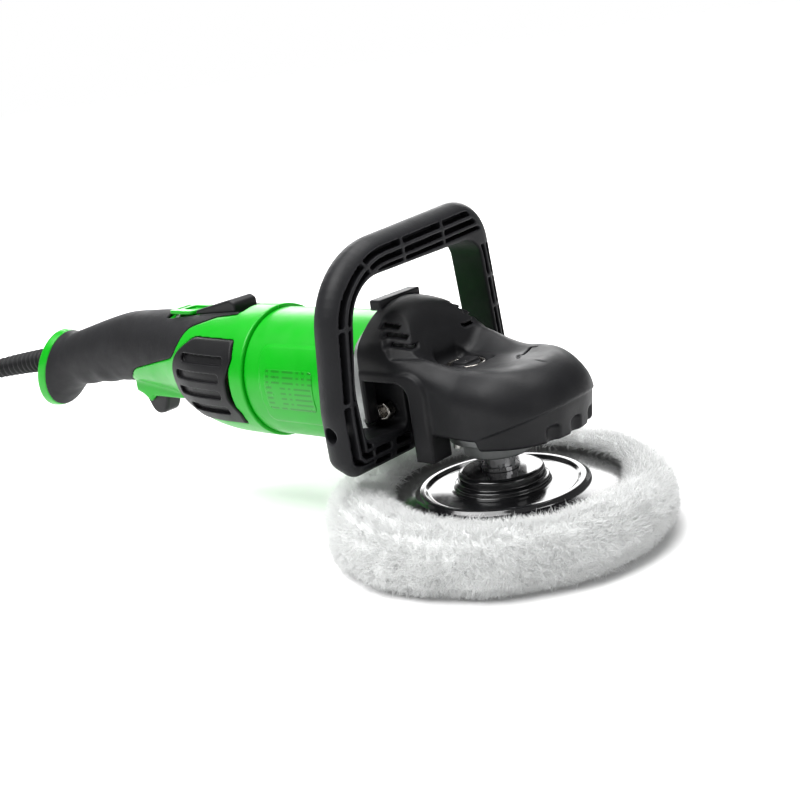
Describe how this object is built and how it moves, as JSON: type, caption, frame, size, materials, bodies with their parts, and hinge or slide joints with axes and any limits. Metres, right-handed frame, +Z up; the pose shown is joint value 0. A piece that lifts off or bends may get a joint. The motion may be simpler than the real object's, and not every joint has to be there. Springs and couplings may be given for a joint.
{
  "type": "rotary polisher",
  "caption": "Corded rotary polisher: green motor barrel with a rubber rear grip, rubber-covered gear head, loop front handle and a wool pad on a flexible backing plate.",
  "frame": {"origin": "centre of the wool pad's flat working face, on the spindle axis", "axes": "+X from the rear grip towards the gear head's nose, +Y to the user's left, +Z up along the spindle away from the work"},
  "size_m": [0.6089, 0.2, 0.187],
  "materials": {
    "machined_steel": "turned and ground",
    "gear_steel": "hardened, oiled",
    "bearing_steel": "ground",
    "lamination": "varnished laminations",
    "copper": "varnished copper wire",
    "white_nylon": "moulded nylon",
    "black_nylon": "moulded nylon",
    "brass": "pressed brass",
    "carbon": "pressed carbon",
    "cast_aluminium": "die cast, satin light grey",
    "cover_rubber": "matte, fine grain",
    "zinc_screw": "zinc plated",
    "button_plastic": "satin",
    "bright_steel": "bright plated",
    "green_shell": "gloss bright green",
    "label": "printed plate with no text",
    "vent_plastic": "satin",
    "grip_rubber": "matte, fine grain",
    "circuit_board": "solder resist",
    "cord_rubber": "matte",
    "handle_plastic": "fine texture",
    "plate_gloss": "gloss black",
    "wool": "tufted white wool pile"
  },
  "bodies": {
    "housing": {"armature_bearing_front": "bearing_steel", "armature_bearing_rear": "bearing_steel", "bearing_cap": "cast_aluminium", "brush_holder_left": "brass", "brush_holder_right": "brass", "cap_screw_1": "zinc_screw", "cap_screw_2": "zinc_screw", "cap_screw_3": "zinc_screw", "carbon_brush_left": "carbon", "carbon_brush_right": "carbon", "case_screw_1": "zinc_screw", "case_screw_2": "zinc_screw", "case_screw_3": "zinc_screw", "case_screw_4": "zinc_screw", "cord_strain_relief": "cord_rubber", "fan_baffle": "black_nylon", "field_coil_front": "copper", "field_coil_rear": "copper", "field_stator": "lamination", "gear_case": "cast_aluminium", "gear_cover": "cover_rubber", "grip_overmould": "grip_rubber", "handle_bolt_left": "bright_steel", "handle_bolt_right": "bright_steel", "handle_shell_left": "green_shell", "handle_shell_right": "green_shell", "lock_ring": "bright_steel", "lock_spring": "bright_steel", "loop_handle": "handle_plastic", "motor_housing": "green_shell", "pinion_bearing_front": "bearing_steel", "pinion_bearing_rear": "bearing_steel", "rating_plate": "label", "rear_bearing_seat": "black_nylon", "slide_bezel": "green_shell", "speed_control_board": "circuit_board", "spindle_bearing_lower": "bearing_steel", "spindle_bearing_upper": "bearing_steel", "switch_body": "black_nylon", "trigger_pin": "machined_steel", "vent_cover_left": "vent_plastic", "vent_cover_right": "vent_plastic"},
    "spindle_body": {"spindle": "machined_steel", "hub_washer": "machined_steel", "bevel_gear": "gear_steel", "backing_plate": "plate_gloss", "wool_pad": "wool"},
    "intermediate_body": {"bevel_pinion": "gear_steel", "spur_gear": "gear_steel"},
    "armature_body": {"armature_shaft": "machined_steel", "armature_core": "lamination", "armature_winding_front": "copper", "armature_winding_rear": "copper", "commutator": "copper", "cooling_fan": "white_nylon", "motor_pinion": "gear_steel"},
    "lock_button_body": {"spindle_lock_button": "button_plastic"},
    "slide_switch_body": {"slide_switch": "button_plastic"},
    "trigger_body": {"trigger": "button_plastic"}
  },
  "joints": [
    {"name": "spindle_spin", "type": "hinge", "parent": "housing", "child": "spindle_body", "pos_m": [0, 0, 0], "axis": [0, 0, 1], "continuous": true},
    {"name": "intermediate_spin", "type": "hinge", "parent": "housing", "child": "intermediate_body", "pos_m": [-0.04, 0, 0.07475], "axis": [1, 0, 0], "continuous": true},
    {"name": "armature_spin", "type": "hinge", "parent": "housing", "child": "armature_body", "pos_m": [-0.1, 0, 0.09075], "axis": [1, 0, 0], "continuous": true},
    {"name": "lock_press", "type": "slide", "parent": "housing", "child": "lock_button_body", "axis": [0, 0, -1], "range_m": [0, 0.0035], "stiffness_N_per_m": 900, "springref_m": -0.002, "deforming": ["lock_spring"]},
    {"name": "slide_on", "type": "slide", "parent": "housing", "child": "slide_switch_body", "axis": [1, 0, 0], "range_m": [0, 0.006]},
    {"name": "trigger_pull", "type": "hinge", "parent": "housing", "child": "trigger_body", "pos_m": [-0.284, 0, 0.0775], "axis": [0, 1, 0], "range_deg": [0, 8], "stiffness_Nm_per_rad": 0.4, "springref_deg": -5.73}
  ],
  "couplings": [
    {"joint": "intermediate_spin", "follows": "spindle_spin", "ratio": 2.75},
    {"joint": "armature_spin", "follows": "spindle_spin", "ratio": -8.25}
  ]
}
